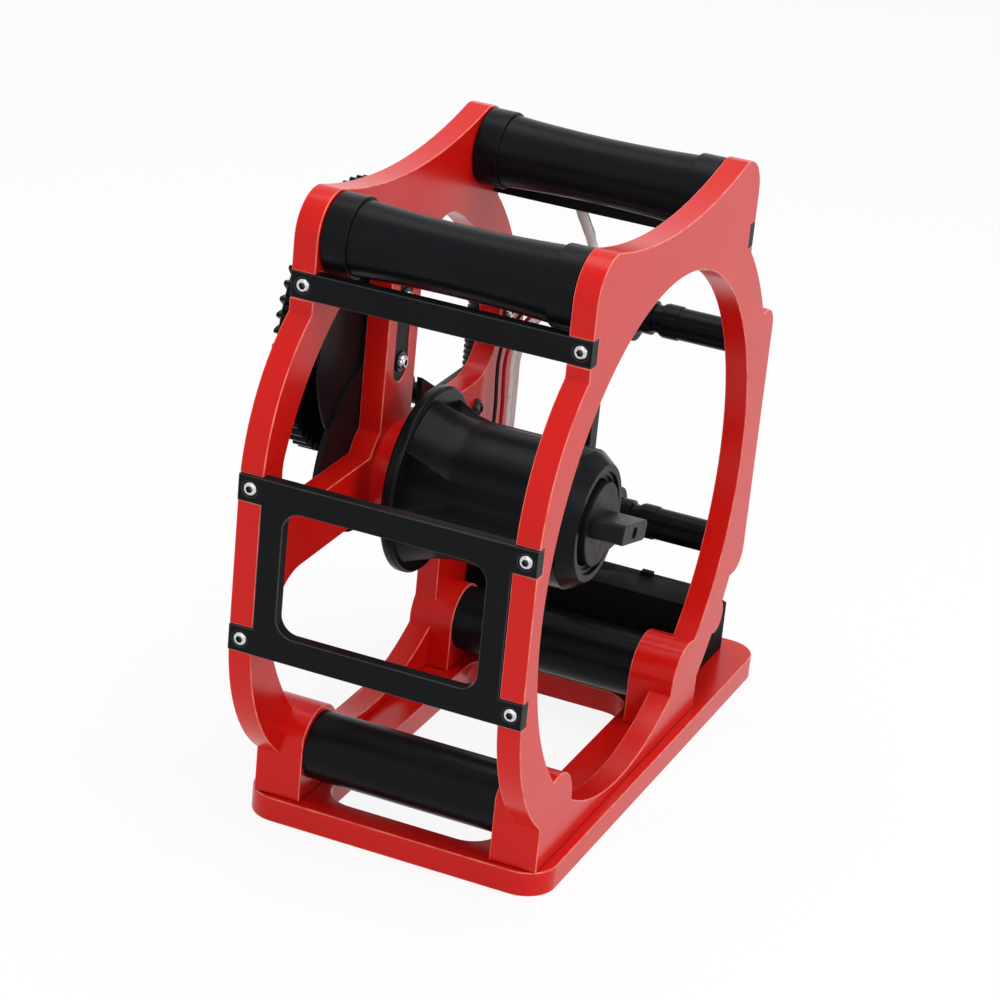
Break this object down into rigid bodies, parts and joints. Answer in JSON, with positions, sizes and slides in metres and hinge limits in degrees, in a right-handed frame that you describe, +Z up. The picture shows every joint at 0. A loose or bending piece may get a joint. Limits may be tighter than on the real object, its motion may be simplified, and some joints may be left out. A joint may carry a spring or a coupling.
{
  "type": "filament spool winder",
  "caption": "Desktop filament spool winder: ring-shaped side plates on a base carry a geared, motor-driven spool hub, top rollers and a sliding filament guide on rods.",
  "frame": {"origin": "under the middle of the whole object, on the surface it stands on", "axes": "+X along the spindle towards the open loading side, +Y from front to back, +Z up"},
  "size_m": [0.1776, 0.263, 0.247],
  "materials": {
    "red_gloss": "glossy red, smooth, edges slightly broken",
    "black_satin": "satin black, fine moulded grain",
    "black_moulded": "semi-gloss black, smooth",
    "grey_moulded": "satin dark grey",
    "steel": "bright plated steel",
    "dark_steel": "black oxide steel",
    "motor_can": "zinc plated can",
    "brass": "turned brass",
    "board_green": "green solder mask",
    "rubber": "matt black rubber",
    "white_tube": "translucent white",
    "red_wire": "smooth red insulation",
    "black_wire": "smooth black insulation"
  },
  "bodies": {
    "frame": {"base_plate": "red_gloss", "left_side_plate": "red_gloss", "right_side_plate": "red_gloss", "front_crossbar": "black_satin", "rear_crossbar": "black_satin", "window_panel": "black_satin", "electronics_box": "black_satin", "tube_inlet": "black_satin", "sleeve_cap": "black_satin", "sleeve_elbow": "black_satin", "gear_bracket": "black_satin", "gear_guard": "black_satin", "slot_block": "black_satin", "motor_bracket": "black_satin", "power_jack": "black_satin", "front_tube": "black_moulded", "rear_tube": "black_moulded", "upper_rod": "black_moulded", "lower_rod": "black_moulded", "front_roller_axle": "steel", "rear_roller_axle": "steel", "spindle_bearings": "steel", "gear_axle": "steel", "slot_screws": "steel", "motor_screws": "steel", "box_screws": "steel", "plate_screw": "steel", "crossbar_screws": "steel", "panel_screws": "steel", "base_screws": "steel", "bracket_screws": "dark_steel", "drive_motor": "motor_can", "control_board": "board_green", "cord_grommets": "rubber", "filament_tube": "white_tube", "red_wire": "red_wire", "black_wire": "black_wire", "ribbed_sleeve": "rubber"},
    "spindle": {"spindle_shaft": "steel", "spindle_hub": "black_moulded", "hub_end_ring": "black_moulded", "spindle_gear": "black_moulded", "spindle_clip": "steel"},
    "lock_knob": {"lock_knob": "grey_moulded"},
    "drive_gear": {"drive_gear": "black_moulded", "gear_bush": "brass"},
    "motor_rotor": {"motor_pinion": "brass"},
    "front_roller": {"front_roller": "black_moulded", "front_roller_bushes": "brass"},
    "rear_roller": {"rear_roller": "black_moulded", "rear_roller_bushes": "brass"},
    "guide": {"guide_carriage": "black_satin", "carriage_bushes": "black_moulded", "guide_eyelet": "brass"},
    "speed_knob": {"speed_knob": "black_satin"},
    "power_switch": {"power_switch": "black_satin"}
  },
  "joints": [
    {"name": "spindle_spin", "type": "hinge", "parent": "frame", "child": "spindle", "pos_m": [0.02615, -0.0185, 0.116], "axis": [1, 0, 0], "continuous": true},
    {"name": "lock_knob_turn", "type": "hinge", "parent": "spindle", "child": "lock_knob", "pos_m": [0.06315, -0.0185, 0.116], "axis": [1, 0, 0], "range_deg": [0, 90]},
    {"name": "drive_gear_spin", "type": "hinge", "parent": "frame", "child": "drive_gear", "pos_m": [-0.04385, -0.0185, 0.1745], "axis": [1, 0, 0], "continuous": true},
    {"name": "motor_spin", "type": "hinge", "parent": "frame", "child": "motor_rotor", "pos_m": [-0.04785, 0.02736, 0.12864], "axis": [1, 0, 0], "continuous": true},
    {"name": "front_roller_spin", "type": "hinge", "parent": "frame", "child": "front_roller", "pos_m": [0.02615, -0.084, 0.231], "axis": [1, 0, 0], "continuous": true},
    {"name": "rear_roller_spin", "type": "hinge", "parent": "frame", "child": "rear_roller", "pos_m": [0.02615, 0.047, 0.231], "axis": [1, 0, 0], "continuous": true},
    {"name": "guide_slide", "type": "slide", "parent": "frame", "child": "guide", "axis": [1, 0, 0], "range_m": [-0.0152, 0.0408]},
    {"name": "speed_knob_turn", "type": "hinge", "parent": "frame", "child": "speed_knob", "pos_m": [0.05415, 0.1215, 0.0206], "axis": [0, 1, 0], "range_deg": [-135, 135]},
    {"name": "power_switch_rock", "type": "hinge", "parent": "frame", "child": "power_switch", "pos_m": [0.02615, 0.1199, 0.0206], "axis": [0, 0, 1], "range_deg": [0, 16]}
  ],
  "couplings": [
    {"joint": "drive_gear_spin", "follows": "spindle_spin", "ratio": -0.8},
    {"joint": "motor_spin", "follows": "spindle_spin", "ratio": 3.1429}
  ]
}
